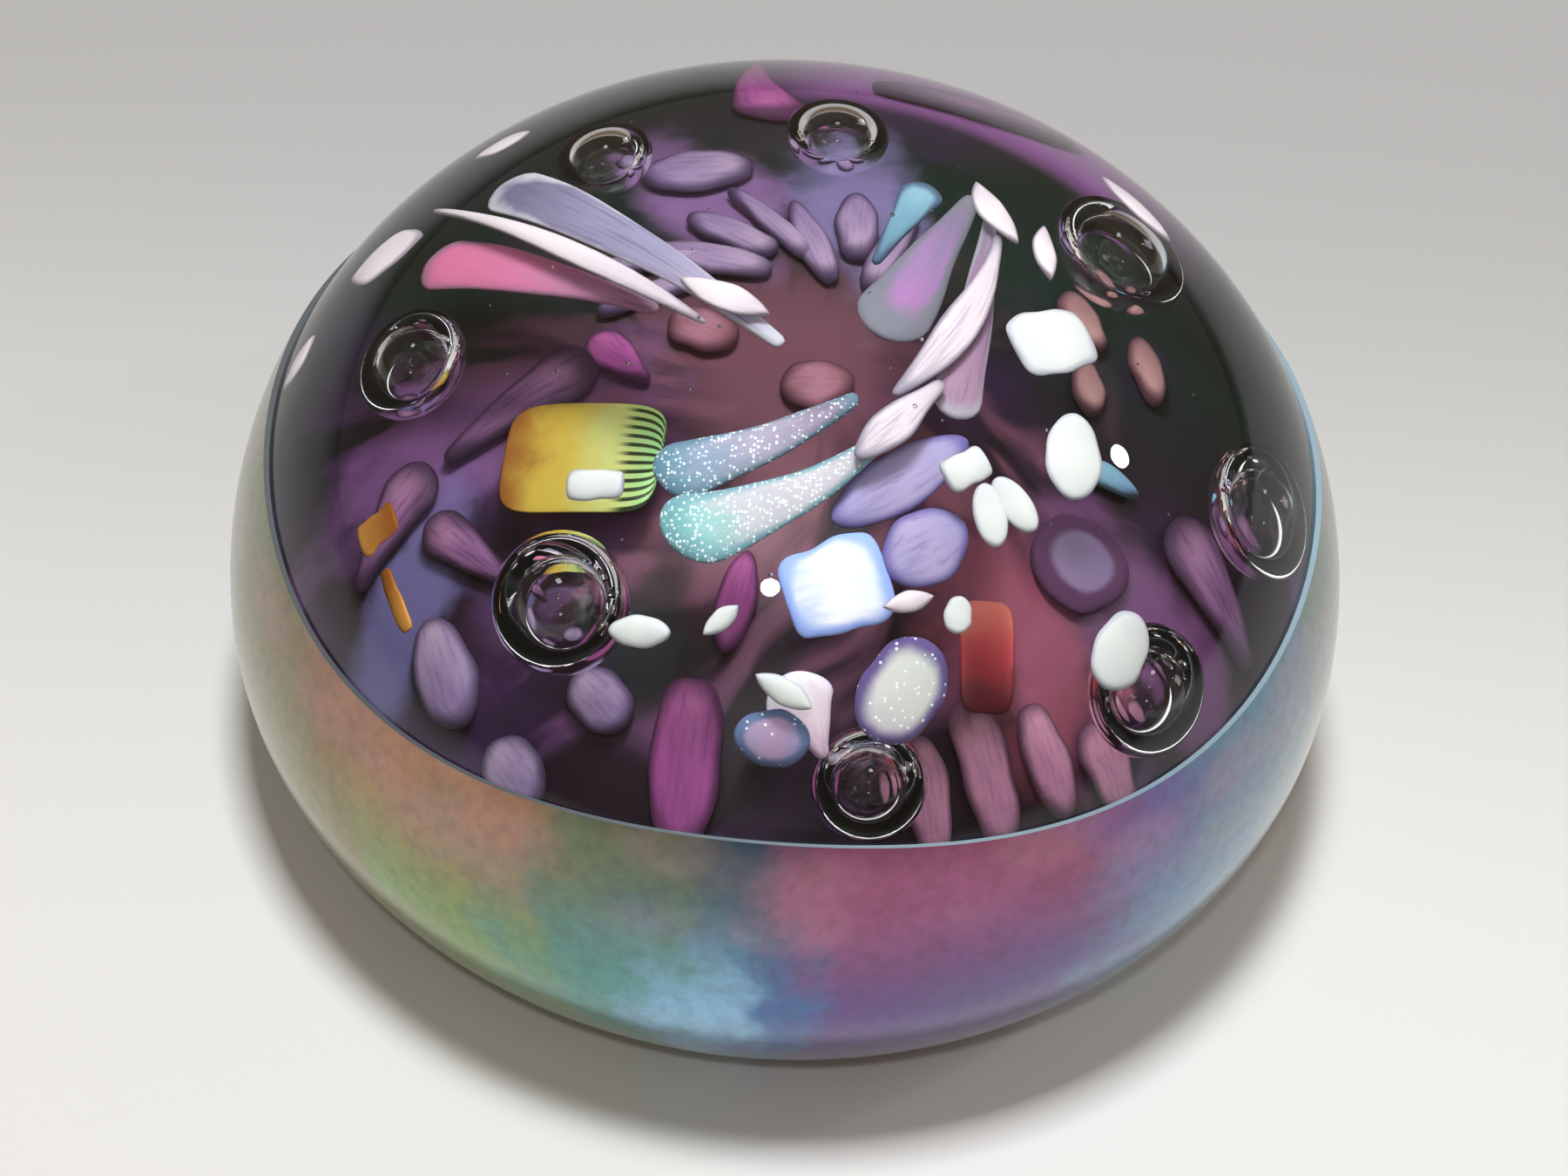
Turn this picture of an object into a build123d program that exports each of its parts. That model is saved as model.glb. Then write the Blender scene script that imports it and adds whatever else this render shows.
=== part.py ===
"""A domed glass paperweight with coloured glass caught inside it.

The weight is built the way it is made at the furnace. A dark mound is gathered first and
coloured petals are laid on it. Clear glass goes over that, with thin layers of coloured
shards, ribbons and chips between the gathers and a ring of trapped air bubbles. The outside
is fumed to a thin lustre skin, and the top is ground away to a clear domed window.

Z is up, the origin is the middle of the flat ground base, and sizes are in millimetres.
A place inside the weight is given as an azimuth in degrees, counted from +X towards +Y,
and a distance from the upright axis. -Y is the front.
"""
from build123d import *
import os
from math import cos, radians, sin, sqrt

os.makedirs("parts", exist_ok=True)

# ---- the outer form
body_radius = 43.0
equator_height = 14.0
crown_rise = 37.5
belly_drop = 26.0

# ---- the lustre skin and the ground edges
skin_thickness = 0.4
window_height = 28.7
skin_foot = 1.6
base_bevel = 0.8

# ---- the dark mound
mound_wall = 9.5
mound_radius = body_radius - mound_wall
mound_height = 29.5

# ---- the radii that the distances in the lists below are planned on
planned_body_radius = 43.0
planned_mound_radius = 33.5
body_spread = body_radius / planned_body_radius
mound_spread = mound_radius / planned_mound_radius

# ---- the layers that hold coloured glass: depth under the clear surface, and thickness
chip_depth = 2.2
chip_thickness = 1.0
ribbon_depth = 3.6
ribbon_thickness = 0.9
feather_depth = 4.9
feather_thickness = 1.1
leaf_depth = 6.4
leaf_thickness = 1.1
deep_depth = 8.0
deep_thickness = 1.1

# ---- the layers that follow the mound: height over it, and thickness
petal_lift = 0.2
petal_thickness = 1.1
flake_lift = 3.0
flake_thickness = 0.4

# ---- the ring of air bubbles: azimuth, distance from the axis, height, diameter
bubbles = [
    (87, 19, 29.0, 6.2),
    (128, 21, 28.5, 6.0),
    (180, 24.5, 28.5, 7.6),
    (-125, 24.5, 29.5, 9.2),
    (-78, 31, 26.0, 7.6),
    (-40, 31.5, 26.0, 8.8),
    (-7, 31, 26.0, 9.4),
    (34, 23, 29.0, 9.0),
]

# Each piece of coloured glass: name, azimuth, distance from the axis, length, width, turn.
# The turn is the angle of its length from straight outwards, anticlockwise seen from outside.
chips = [
    ("chip_trapezoid", -123, 24, 4.0, 2.1, -60, "block"),
    ("chip_leaf", -108, 30, 4.2, 2.1, -75, "leaf"),
    ("chip_small_leaf", -98, 28.5, 3.0, 1.4, -40, "leaf"),
    ("chip_rhombus", -57, 21, 3.4, 2.4, -85, "block"),
    ("chip_oval", -37, 23.5, 6.3, 4.3, -48, "oval"),
    ("chip_square", -20, 18, 6.5, 4.8, 53, "block"),
    ("chip_egg", -46, 33, 5.6, 4.6, 124, "drop"),
    ("chip_small_oval", -66, 28.5, 2.5, 2.0, -20, "oval"),
    ("sliver_back_tall", 20, 13.5, 6.4, 2.4, 100, "leaf"),
    ("sliver_back_short", 7, 16.5, 5.4, 1.8, 90, "leaf"),
    ("sliver_shoulder_right", 31, 27, 7.0, 3.2, 112, "leaf"),
    ("leaf_shoulder_left", 168, 31, 7.5, 5.0, 5, "leaf"),
    ("sliver_shoulder_left", 177, 36, 4.5, 2.6, 37, "leaf"),
    ("sliver_crown_left", 145, 28, 4.5, 3.2, 41, "leaf"),
]
ribbons = [
    ("ribbon_left", 178, 18, 31.0, 1.8, 142, "leaf"),
    ("tip_cream", -131, 8.5, 7.0, 2.2, 105, "leaf"),
    ("ribbon_cream", -28, 11, 17.5, 2.2, -84, "leaf"),
    ("leaf_white", -65, 16, 7.2, 2.2, -64, "leaf"),
    ("leaf_pointed", -89, 30.5, 4.3, 1.8, 63, "leaf"),
    ("sliver_cream", -72, 26.5, 3.5, 1.4, 93, "leaf"),
]
feathers = [
    ("feather_lilac", 179, 12.5, 31.0, 4.6, 139, "drop"),
    ("feather_teal", -94, 19, 15.5, 3.8, 122, "drop"),
    ("petal_rose_grey", -19, 12, 18.5, 3.6, 104, "drop"),
    ("oval_violet", -67, 23, 6.4, 4.8, -72, "oval"),
    ("pane_blue", -82, 24.5, 7.0, 6.0, -73, "block"),
    ("halo_round", -74, 29.7, 7.4, 5.8, -38, "drop"),
    ("oval_grey", -90, 31.5, 5.0, 3.8, 88, "oval"),
]
leaves = [
    ("leaf_hot_pink", -179, 18.5, 21.5, 4.6, 149, "leaf"),
    ("petal_grey_lilac", 4, 8, 16.5, 5.0, 65, "drop"),
    ("feather_silver", -100, 15, 14.0, 3.2, 126, "drop"),
    ("lobe_violet", -67, 18, 11.0, 3.8, -72, "oval"),
    ("fan_pink", -86, 29.5, 6.0, 4.4, 26, "drop"),
]
deep_leaves = [
    ("leaf_teal", 39, 7.5, 9.6, 2.8, -149, "drop"),
]
petals = [
    ("petal_magenta_front", -102, 25, 10.5, 4.4, 8, "drop"),
    ("petal_magenta_high", -100, 16.5, 6.5, 2.4, 0, "oval"),
    ("petal_lilac_low", -124, 28, 4.8, 4.2, 69, "oval"),
    ("petal_grey_low", -117, 23.5, 4.6, 3.8, 73, "oval"),
    ("petal_blue_low", -140, 26.5, 7.2, 4.4, 64, "oval"),
    ("petal_violet_left", -150, 22, 8.6, 3.2, 106, "drop"),
    ("swoosh_plum_low", -164, 25, 8.6, 4.2, 33, "drop"),
    ("swoosh_plum_high", -174, 17, 11.0, 4.6, 22, "drop"),
    ("petal_magenta_left", 178, 11, 5.4, 3.0, 136, "drop"),
    ("ring_purple", -27, 20, 6.8, 6.0, 39, "oval"),
    ("arc_teal", -9, 19, 4.6, 1.8, 9, "leaf"),
    ("petal_purple_right", -12, 26.5, 10.0, 5.0, -22, "drop"),
    ("petal_lilac_back", 112, 18.5, 6.5, 4.6, 67, "oval"),
    ("comma_magenta_back", 96, 26.5, 8.0, 2.8, 4, "drop"),
    ("band_plum_back", 74, 28.5, 11.0, 2.8, 104, "leaf"),
]
rose_lumps = [(160, 6.5, 4.6, 3.4, -8), (-60, 2.0, 4.6, 3.6, -103)]
mauve_petals = [(-59, 26, 9.0, 3.2), (-51, 26.5, 7.0, 2.8), (-68, 26.5, 8.0, 2.4), (-42, 28, 6.0, 3.4)]
beige_petals = [(28, 18.5, 4.6, 2.8), (19, 21.5, 5.0, 2.4), (11, 17.5, 4.0, 2.2)]
side_pebbles = [(-126, 4.4), (-113, 5.2), (-98, 4.6), (-83, 4.0), (-70, 5.4), (-57, 4.2)]
side_pebble_distance = 32.2

# ---- the streaks that run in to one point at the back of the mound
streak_meeting_azimuth = 50
streak_azimuths = [66, 78, 90, 102, 114, 126, 138, 150]
streak_distance = 11.5
streak_length = 8.0
streak_width = 1.7

# ---- the thin metal-coated flakes, and a small chip made of two lobes
flakes = [
    ("flake_gold", -148, 15.5, 9.4, 7.0, 140, "block"),
    ("flake_red", -55, 22.5, 7.0, 3.6, -25, "block"),
]
amber_flakes = [(-153, 30, 3.6, 2.4, -12), (-144, 31, 4.6, 1.2, 71)]
butterfly_azimuth = -54
butterfly_distance = 24.0
butterfly_length = 4.4
butterfly_width = 2.4
butterfly_spread = 2.4
butterfly_gap_angle = 12.0

# ---- how far a shard's outline is carried through its layer, either way
outline_reach = 7.0
block_corner_share = 0.28

# ---- how far a Bezier curve's handles reach along their sides to draw a quarter of an ellipse
quarter_bend = 0.5523


def egg(radius, rise, drop, middle):
    """A solid of revolution: half an ellipse above the middle height and half below it."""
    top = middle + rise
    bottom = middle - drop
    bend = quarter_bend * radius
    crown = Bezier((radius, middle), (radius, middle + quarter_bend * rise), (bend, top), (0, top))
    belly = Bezier((0, bottom), (bend, bottom), (radius, middle - quarter_bend * drop), (radius, middle))
    spine = Line((0, top), (0, bottom))
    outline = Plane.XZ * make_face(Curve() + [belly, crown, spine])
    return revolve(outline, Axis.Z)


def slab(low, high):
    """A wide slab between two heights, for keeping one level of a turned form."""
    wide = 4 * body_radius
    return Pos(0, 0, (low + high) / 2) * Box(wide, wide, high - low)


def outline_of(shape, length, width):
    """The flat outline of a shard, its length along X."""
    if shape == "oval":
        return Ellipse(length / 2, width / 2)
    if shape == "block":
        return RectangleRounded(length, width, block_corner_share * width)
    if shape == "drop":
        wide_end = Pos(width / 2 - length / 2, 0) * Circle(width / 2)
        narrow_end = Pos(length / 2 - width / 8, 0) * Circle(width / 8)
        return make_hull((wide_end + narrow_end).edges())
    bow = ThreePointArc((-length / 2, 0), (0, width / 2), (length / 2, 0))
    return make_face(Curve() + [bow, mirror(bow, Plane.XZ)])


class Layer:
    """A thin layer of one thickness in the glass, where shards lie."""

    def __init__(self, radius, rise, middle, thickness, spread):
        self.radius = radius
        self.rise = rise
        self.middle = middle
        self.spread = spread
        self.shell = egg(radius, rise, rise, middle)
        self.shell -= egg(radius - thickness, rise - thickness, rise - thickness, middle)
        self.laid = []

    def seat(self, azimuth, distance, turn):
        """The plane that touches the layer at a place, its X along the shard."""
        distance = distance * self.spread
        height = self.rise * sqrt(1 - (distance / self.radius) ** 2)
        angle = radians(azimuth)
        out = Vector(cos(angle), sin(angle), 0)
        place = out * distance + Vector(0, 0, self.middle + height)
        normal = out * (distance / self.radius ** 2) + Vector(0, 0, height / self.rise ** 2)
        normal = normal.normalized()
        outwards = (out - normal * out.dot(normal)).normalized()
        sideways = normal.cross(outwards)
        along = outwards * cos(radians(turn)) + sideways * sin(radians(turn))
        return Plane(place, x_dir=along, z_dir=normal)

    def trimmed(self, prism):
        """The prism's stretch of the layer, cut back where it meets a piece laid before it."""
        piece = prism & self.shell
        for other in self.laid:
            if piece.bounding_box().overlaps(other.bounding_box()):
                piece = piece - other
        piece = piece.solids().sort_by(SortBy.VOLUME)[-1]
        self.laid.append(piece)
        return piece

    def shard(self, azimuth, distance, length, width, turn, shape):
        """One piece of the layer, with its outline square to the layer at its middle."""
        outline = self.seat(azimuth, distance, turn) * outline_of(shape, length, width)
        return self.trimmed(extrude(outline, outline_reach, both=True))


def casing_layer(depth, thickness):
    """A layer at one depth under the clear surface."""
    sunk = skin_thickness + depth
    return Layer(body_radius - sunk, crown_rise - sunk, equator_height, thickness, body_spread)


def mound_layer(lift, thickness):
    """A layer that follows the mound at one height over it."""
    raised = lift + thickness
    return Layer(mound_radius + raised, mound_height + raised, 0, thickness, mound_spread)


# ---- the coloured glass, layer by layer
nodes = {}
inclusions = []


def keep(name, solids):
    """Keep a piece of coloured glass under its name, as one solid or a group."""
    nodes[name] = Compound(children=solids, label=name)
    inclusions.extend(solids)


def lay(layer, rows):
    """Lay each named shard of a list in its layer."""
    for name, azimuth, distance, length, width, turn, shape in rows:
        keep(name, [layer.shard(azimuth, distance, length, width, turn, shape)])


chip_layer = casing_layer(chip_depth, chip_thickness)
lay(chip_layer, chips)
wings = []
for side in (-1, 1):
    azimuth = butterfly_azimuth + side * butterfly_spread
    turn = side * butterfly_gap_angle
    wing = chip_layer.seat(azimuth, butterfly_distance, turn) * outline_of("oval", butterfly_length, butterfly_width)
    wings.append(extrude(wing, outline_reach, both=True))
keep("chip_butterfly", [chip_layer.trimmed(wings[0] + wings[1])])

lay(casing_layer(ribbon_depth, ribbon_thickness), ribbons)
lay(casing_layer(feather_depth, feather_thickness), feathers)
lay(casing_layer(leaf_depth, leaf_thickness), leaves)
lay(casing_layer(deep_depth, deep_thickness), deep_leaves)

petal_layer = mound_layer(petal_lift, petal_thickness)
lay(petal_layer, petals)
keep("lumps_rose", [petal_layer.shard(*row, "oval") for row in rose_lumps])
keep("petals_mauve", [petal_layer.shard(*row, 0, "drop") for row in mauve_petals])
keep("petals_beige", [petal_layer.shard(*row, 90, "oval") for row in beige_petals])

streaks = []
for azimuth in streak_azimuths:
    lean = 0.5 * (azimuth - streak_meeting_azimuth)
    streaks.append(petal_layer.shard(azimuth, streak_distance, streak_length, streak_width, lean, "leaf"))
keep("streaks_back", streaks)

pebbles = []
for azimuth, size in side_pebbles:
    pebbles.append(petal_layer.shard(azimuth, side_pebble_distance, size, size * 0.8, 90, "oval"))
keep("pebbles_side", pebbles)

flake_layer = mound_layer(flake_lift, flake_thickness)
lay(flake_layer, flakes)
amber_layer = casing_layer(deep_depth, flake_thickness)
keep("flakes_amber", [amber_layer.shard(*row, "block") for row in amber_flakes])

# ---- the dark mound, cut flat at the base
mound = egg(mound_radius, mound_height, mound_height, 0) & slab(0, 2 * mound_height)
nodes["dark_mound"] = mound

# ---- the clear casing, with the bubbles and everything that it encloses cut out of it
clear_radius = body_radius - skin_thickness
clear_rise = crown_rise - skin_thickness
clear_drop = belly_drop - skin_thickness
clear_body = egg(clear_radius, clear_rise, clear_drop, equator_height)
casing = clear_body & slab(0, 2 * body_radius)
casing = chamfer(casing.edges().sort_by(Axis.Z)[0], base_bevel)
air = []
for azimuth, distance, height, diameter in bubbles:
    angle = radians(azimuth)
    distance = distance * body_spread
    air.append(Pos(distance * cos(angle), distance * sin(angle), height) * Sphere(diameter / 2))
nodes["clear_casing"] = casing - [mound] - air - inclusions

# ---- the lustre skin, from just above the base up to the rim of the window
skin = egg(body_radius, crown_rise, belly_drop, equator_height) - clear_body
nodes["lustre_skin"] = skin & slab(skin_foot, window_height)

for name, shape in nodes.items():
    export_step(shape, f"parts/{name}.step")
    print(name, len(shape.solids()), "solids", round(shape.volume, 2), "mm3")
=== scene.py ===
# %% [markdown]
# # A domed glass paperweight
# A studio paperweight is made at the furnace, from the inside out. A dark mound is gathered
# and coloured petals are pressed on it. Clear glass goes over that, chips and ribbons of
# colour are laid between the gathers, and the hot outside is fumed to a rainbow lustre. When
# it is cold, the top is ground away to a clear domed window and the base is ground flat.
# This lesson builds it in that order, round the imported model, in metres.

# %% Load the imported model
import math
import random

import bpy
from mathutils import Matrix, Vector


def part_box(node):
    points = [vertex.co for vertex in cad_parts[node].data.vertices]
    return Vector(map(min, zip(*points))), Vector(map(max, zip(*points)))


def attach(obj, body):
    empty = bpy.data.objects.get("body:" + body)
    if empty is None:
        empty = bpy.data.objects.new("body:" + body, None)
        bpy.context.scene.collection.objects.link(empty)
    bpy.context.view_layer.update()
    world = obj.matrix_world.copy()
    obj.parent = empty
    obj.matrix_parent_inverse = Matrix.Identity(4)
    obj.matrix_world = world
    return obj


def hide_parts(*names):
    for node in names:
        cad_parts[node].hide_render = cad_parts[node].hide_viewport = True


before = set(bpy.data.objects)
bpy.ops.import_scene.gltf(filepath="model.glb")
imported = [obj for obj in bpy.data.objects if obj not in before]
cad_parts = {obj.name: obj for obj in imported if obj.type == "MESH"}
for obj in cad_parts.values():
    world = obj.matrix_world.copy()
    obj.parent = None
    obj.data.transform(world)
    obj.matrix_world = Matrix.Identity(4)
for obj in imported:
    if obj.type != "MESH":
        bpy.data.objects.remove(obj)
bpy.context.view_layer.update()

MM = 0.001

# %% The sizes that everything is worked out from
skin_low, skin_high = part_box("lustre_skin")
casing_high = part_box("clear_casing")[1]
mound_low, mound_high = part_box("dark_mound")
skin_thickness = 0.4 * MM
body_radius = (skin_high.x - skin_low.x) / 2
clear_radius = body_radius - skin_thickness
# The outer form is widest at the equator. It rises to the crown over it, and under it the curve
# would drop by clear_drop if the flat base did not cut it off.
equator = 14 * MM
clear_rise = casing_high.z - equator
clear_drop = 25.6 * MM
mound_radius = (mound_high.x - mound_low.x) / 2
mound_height = mound_high.z
print("radius", round(body_radius / MM, 1), "crown at", round(casing_high.z / MM, 1), "mm")


# %% [markdown]
# ## Small tools
# An operator acts on everything that is selected, so each step starts from nothing selected.
# Every finished piece keeps its object at the origin, and has its place in its mesh.

# %% Selecting and settling
def only(piece):
    """Select one piece and make it active."""
    bpy.ops.object.select_all(action="DESELECT")
    piece.select_set(True)
    bpy.context.view_layer.objects.active = piece


def settle(piece, name):
    """Name a piece, smooth it and put its place into its mesh."""
    only(piece)
    bpy.ops.object.transform_apply(location=True, rotation=True, scale=True)
    bpy.ops.object.shade_smooth()
    piece.name = name
    piece.data.name = name
    return piece


def on_place(piece, rule):
    """Move every vertex by a rule that takes its place and gives a new one."""
    for vertex in piece.data.vertices:
        vertex.co = rule(vertex.co)
    piece.data.update()


def colour(red, green, blue):
    """A colour named by its screen values, 0 to 255, as Blender's linear one."""
    linear = []
    for value in (red, green, blue):
        share = value / 255
        linear.append(share / 12.92 if share <= 0.04045 else ((share + 0.055) / 1.055) ** 2.4)
    return (*linear, 1.0)


# %% [markdown]
# ## Node shorthand
# Materials are easier to read when adding a node, setting its sockets and wiring them is one
# line. `Recipe` keeps a material's nodes together and does just that. `math`, `ramp`, `mix`,
# `noise` and `step` each add one node and give its output, and `finish` fills in the shader.

# %% A recipe for a material
class Recipe:
    """A material's node tree, with a method for each kind of node that is used here."""

    def __init__(self, name):
        self.material = bpy.data.materials.new(name)
        self.material.use_nodes = True
        self.tree = self.material.node_tree
        self.shader = self.tree.nodes["Principled BSDF"]
        self.output = self.tree.nodes["Material Output"]

    def add(self, kind, sockets=None, **settings):
        """Add a node, with its settings by name and its sockets from a dictionary."""
        node = self.tree.nodes.new(kind)
        for key, value in settings.items():
            setattr(node, key, value)
        for key, value in (sockets or {}).items():
            self.put(node.inputs[key], value)
        return node

    def put(self, socket, value):
        """Wire an output to a socket, or set the socket to a plain value."""
        if isinstance(value, bpy.types.NodeSocket):
            self.tree.links.new(value, socket)
        else:
            socket.default_value = value

    def math(self, operation, first, second=0.0):
        node = self.add("ShaderNodeMath", operation=operation)
        self.put(node.inputs[0], first)
        self.put(node.inputs[1], second)
        return node.outputs[0]

    def ramp(self, value, stops):
        node = self.add("ShaderNodeValToRGB", {"Fac": value})
        band = node.color_ramp
        band.interpolation = "EASE"
        while len(band.elements) < len(stops):
            band.elements.new(0.5)
        for element, (place, shade) in zip(band.elements, sorted(stops)):
            element.position = place
            element.color = shade
        return node.outputs["Color"]

    def mix(self, share, first, second, how="MIX"):
        # A mix node lists its sockets for every data type, and 6, 7 and 2 are the colour ones.
        node = self.add("ShaderNodeMix", data_type="RGBA", blend_type=how)
        self.put(node.inputs["Factor"], share)
        self.put(node.inputs[6], first)
        self.put(node.inputs[7], second)
        return node.outputs[2]

    def noise(self, vector, scale, detail, rough):
        sockets = {"Vector": vector, "Scale": scale, "Detail": detail, "Roughness": rough}
        return self.add("ShaderNodeTexNoise", sockets).outputs["Fac"]

    def step(self, value, start, end):
        """Go smoothly from 0 at start to 1 at end."""
        sockets = {"Value": value, "From Min": start, "From Max": end}
        return self.add("ShaderNodeMapRange", sockets, interpolation_type="SMOOTHSTEP").outputs["Result"]

    def place(self):
        """The point's own place on the object, in metres."""
        return self.add("ShaderNodeTexCoord").outputs["Object"]

    def finish(self, base, roughness, specular, **more):
        self.put(self.shader.inputs["Base Color"], base)
        self.shader.inputs["Roughness"].default_value = roughness
        self.shader.inputs["Specular IOR Level"].default_value = specular
        for key, value in more.items():
            self.put(self.shader.inputs[key.replace("_", " ")], value)
        return self.material


# %% [markdown]
# ## Camera, floor and light
# The weight is looked down on from in front, from six radii away, with the camera turned a
# little. The floor is pale paper, and its colour darkens away from the camera: that is painted
# light, standing in for the light that falls off away from the camera. A lamp overhead gives the
# close soft shadow, two small ones give the sparkles on the dome, and a dim one low at the
# right lights the shoulder there. The air is warm and dim, and where the floor ends the camera
# sees a plain grey wall, which lights nothing.

# %% Camera
camera_height = math.radians(47)
camera_roll = math.radians(4.63)
camera_distance = 6.0 * body_radius
focal_length = 75.5
aim = Vector((0.0, -0.0012, equator - 0.0012))
back = Vector((0, -math.cos(camera_height), math.sin(camera_height)))
camera_data = bpy.data.cameras.new("camera")
camera_data.lens = focal_length
camera_data.sensor_width = 36
camera = bpy.data.objects.new("camera", camera_data)
bpy.context.scene.collection.objects.link(camera)
camera.location = aim + back * camera_distance
camera.rotation_euler = (math.radians(90) - camera_height, 0, 0)
camera.rotation_euler.rotate_axis("Z", camera_roll)
bpy.context.scene.camera = camera
bpy.context.scene.view_settings.view_transform = "Standard"
print("the camera is", round(camera_distance / MM), "mm away")

# %% Floor
bpy.ops.object.select_all(action="DESELECT")
bpy.ops.mesh.primitive_plane_add(size=6)
floor = bpy.context.object
floor.name = "floor"
paper = Recipe("pale_paper")
# Painted light: the paper's colour goes from bright near the camera to dim far away, standing in for the
# light falling off.
near_y, far_y = -0.075, 0.115
near_painted_light, far_painted_shade = colour(240, 239, 237), colour(184, 183, 183)
depth = paper.add("ShaderNodeSeparateXYZ", {"Vector": paper.place()}).outputs["Y"]
shade = paper.ramp(paper.step(depth, near_y, far_y), [(0, near_painted_light), (1, far_painted_shade)])
floor.data.materials.append(paper.finish(shade, roughness=0.8, specular=0.1))
print("the floor darkens from", near_y, "to", far_y, "m")

# %% World and lamps
world = bpy.data.worlds.new("room")
bpy.context.scene.world = world
world.use_nodes = True
sky = world.node_tree
warm_air = sky.nodes["Background"]
warm_air.inputs["Color"].default_value = (1.0, 0.74, 0.50, 1)
warm_air.inputs["Strength"].default_value = 0.17
grey_wall = sky.nodes.new("ShaderNodeBackground")
grey_wall.inputs["Color"].default_value = (0.50, 0.50, 0.49, 1)
sky_rays = sky.nodes.new("ShaderNodeLightPath")
sky_mix = sky.nodes.new("ShaderNodeMixShader")
sky.links.new(sky_rays.outputs["Is Camera Ray"], sky_mix.inputs[0])
sky.links.new(warm_air.outputs[0], sky_mix.inputs[1])
sky.links.new(grey_wall.outputs[0], sky_mix.inputs[2])
sky.links.new(sky_mix.outputs[0], sky.nodes["World Output"].inputs["Surface"])


def lamp(name, kind, place, power, size, seen_in_gloss):
    """Place a lamp, aimed at the weight, by its power in watts and its size in metres."""
    data = bpy.data.lights.new(name, kind)
    data.energy = power
    data.color = (0.95, 0.98, 1.0)
    if kind == "AREA":
        data.size = size
    else:
        data.shadow_soft_size = size
    holder = bpy.data.objects.new(name, data)
    bpy.context.scene.collection.objects.link(holder)
    holder.location = place
    holder.rotation_euler = Vector(place).to_track_quat("Z", "Y").to_euler()
    holder.visible_glossy = seen_in_gloss


lamp("overhead", "AREA", (-0.02, 0.04, 0.62), 3.1, 0.12, False)
lamp("sparkle_front", "POINT", (-0.023, -0.296, 0.464), 1.15, 0.016, True)
lamp("sparkle_right", "POINT", (0.429, 0.112, 0.306), 0.5, 0.018, True)
lamp("window_right", "AREA", (0.55, 0.22, 0.20), 0.5, 0.22, False)
# Light goes through many surfaces on its way in and out of glass, so it gets more bounces.
cycles = bpy.context.scene.cycles
cycles.max_bounces = 16
cycles.transmission_bounces = 14
cycles.transparent_max_bounces = 16
cycles.diffuse_bounces = 4
cycles.glossy_bounces = 6
print(len(bpy.data.lights), "lamps")


# %% [markdown]
# ## The dark mound
# The first gather is near-black glass. Between the petals it shows as dark green at the back
# and dark plum in front, with cloudy streaks that run in towards the crown. A plum arc at the
# back right is a painted reflection: it stands for the mound's colour mirrored inside the back
# of the dome. A ball is pulled to the right height, cut flat, and given its colour by place.
# The clouds of colour on it are too soft to be shards, so they are in its colour too.

# %% The mound's shape
def egg(name, radius, rise, drop, middle, segments=96, rings=48):
    """A ball stretched to one height over its middle and another under it."""
    bpy.ops.object.select_all(action="DESELECT")
    bpy.ops.mesh.primitive_uv_sphere_add(segments=segments, ring_count=rings, radius=radius)
    form = bpy.context.object
    bpy.ops.object.mode_set(mode="EDIT")
    for side, height in ((1, rise), (-1, drop)):
        bpy.ops.mesh.select_all(action="DESELECT")
        bpy.ops.object.mode_set(mode="OBJECT")
        for vertex in form.data.vertices:
            vertex.select = vertex.co.z * side > 1e-6
        bpy.ops.object.mode_set(mode="EDIT")
        bpy.ops.transform.resize(value=(1, 1, height / radius), center_override=(0, 0, 0))
    bpy.ops.mesh.select_all(action="SELECT")
    bpy.ops.transform.translate(value=(0, 0, middle))
    bpy.ops.object.mode_set(mode="OBJECT")
    form.name = name
    return form


def cut_flat(form, height, keep_above=True, fill=True):
    """Cut a form level at a height and keep one side, with the cut closed or left open."""
    only(form)
    bpy.ops.object.mode_set(mode="EDIT")
    bpy.ops.mesh.select_all(action="SELECT")
    bpy.ops.mesh.bisect(plane_co=(0, 0, height), plane_no=(0, 0, 1), use_fill=fill,
                        clear_inner=keep_above, clear_outer=not keep_above)
    bpy.ops.object.mode_set(mode="OBJECT")


mound = egg("dark_ground", mound_radius, mound_height, mound_height, 0)
cut_flat(mound, 0)
settle(mound, "dark_ground")
only(mound)
bpy.ops.object.shade_smooth_by_angle(angle=math.radians(40))

# %% The mound's colour
ground = Recipe("dark_mound_glass")
spot = ground.place()
axes = ground.add("ShaderNodeSeparateXYZ", {"Vector": spot})
around = ground.math("ARCTAN2", axes.outputs["Y"], axes.outputs["X"])
reach = ground.math("SQRT", ground.math("ADD", ground.math("POWER", axes.outputs["X"], 2.0),
                                        ground.math("POWER", axes.outputs["Y"], 2.0)))
bend = ground.math("MULTIPLY", ground.math("SUBTRACT", ground.noise(spot, 55.0, 2.0, 0.5), 0.5), 1.6)
swirl = ground.math("ADD", ground.math("ADD", around, ground.math("MULTIPLY", reach, 34.0)), bend)
streak_place = ground.add("ShaderNodeCombineXYZ", {"X": ground.math("SINE", swirl),
                                                  "Y": ground.math("COSINE", swirl),
                                                  "Z": ground.math("MULTIPLY", reach, 30.0)})
streaks = ground.noise(streak_place.outputs[0], 2.6, 3.0, 0.5)
cloud = ground.noise(spot, 90.0, 3.0, 0.5)
front_share = ground.step(axes.outputs["Y"], 0.012, -0.006)
crown_share = ground.step(axes.outputs["Z"], 0.016, 0.029)
dark = ground.mix(front_share, colour(22, 36, 32), colour(32, 20, 32))
plum = ground.mix(crown_share, colour(92, 58, 106), colour(124, 78, 92))
patch = ground.step(ground.math("ADD", streaks, ground.math("MULTIPLY", crown_share, 0.07)), 0.50, 0.64)
patch = ground.math("MULTIPLY", patch, ground.math("ADD", ground.math("MULTIPLY", front_share, 0.85), 0.10))
crown_heart = ground.step(reach, 0.012, 0.003)
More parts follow.
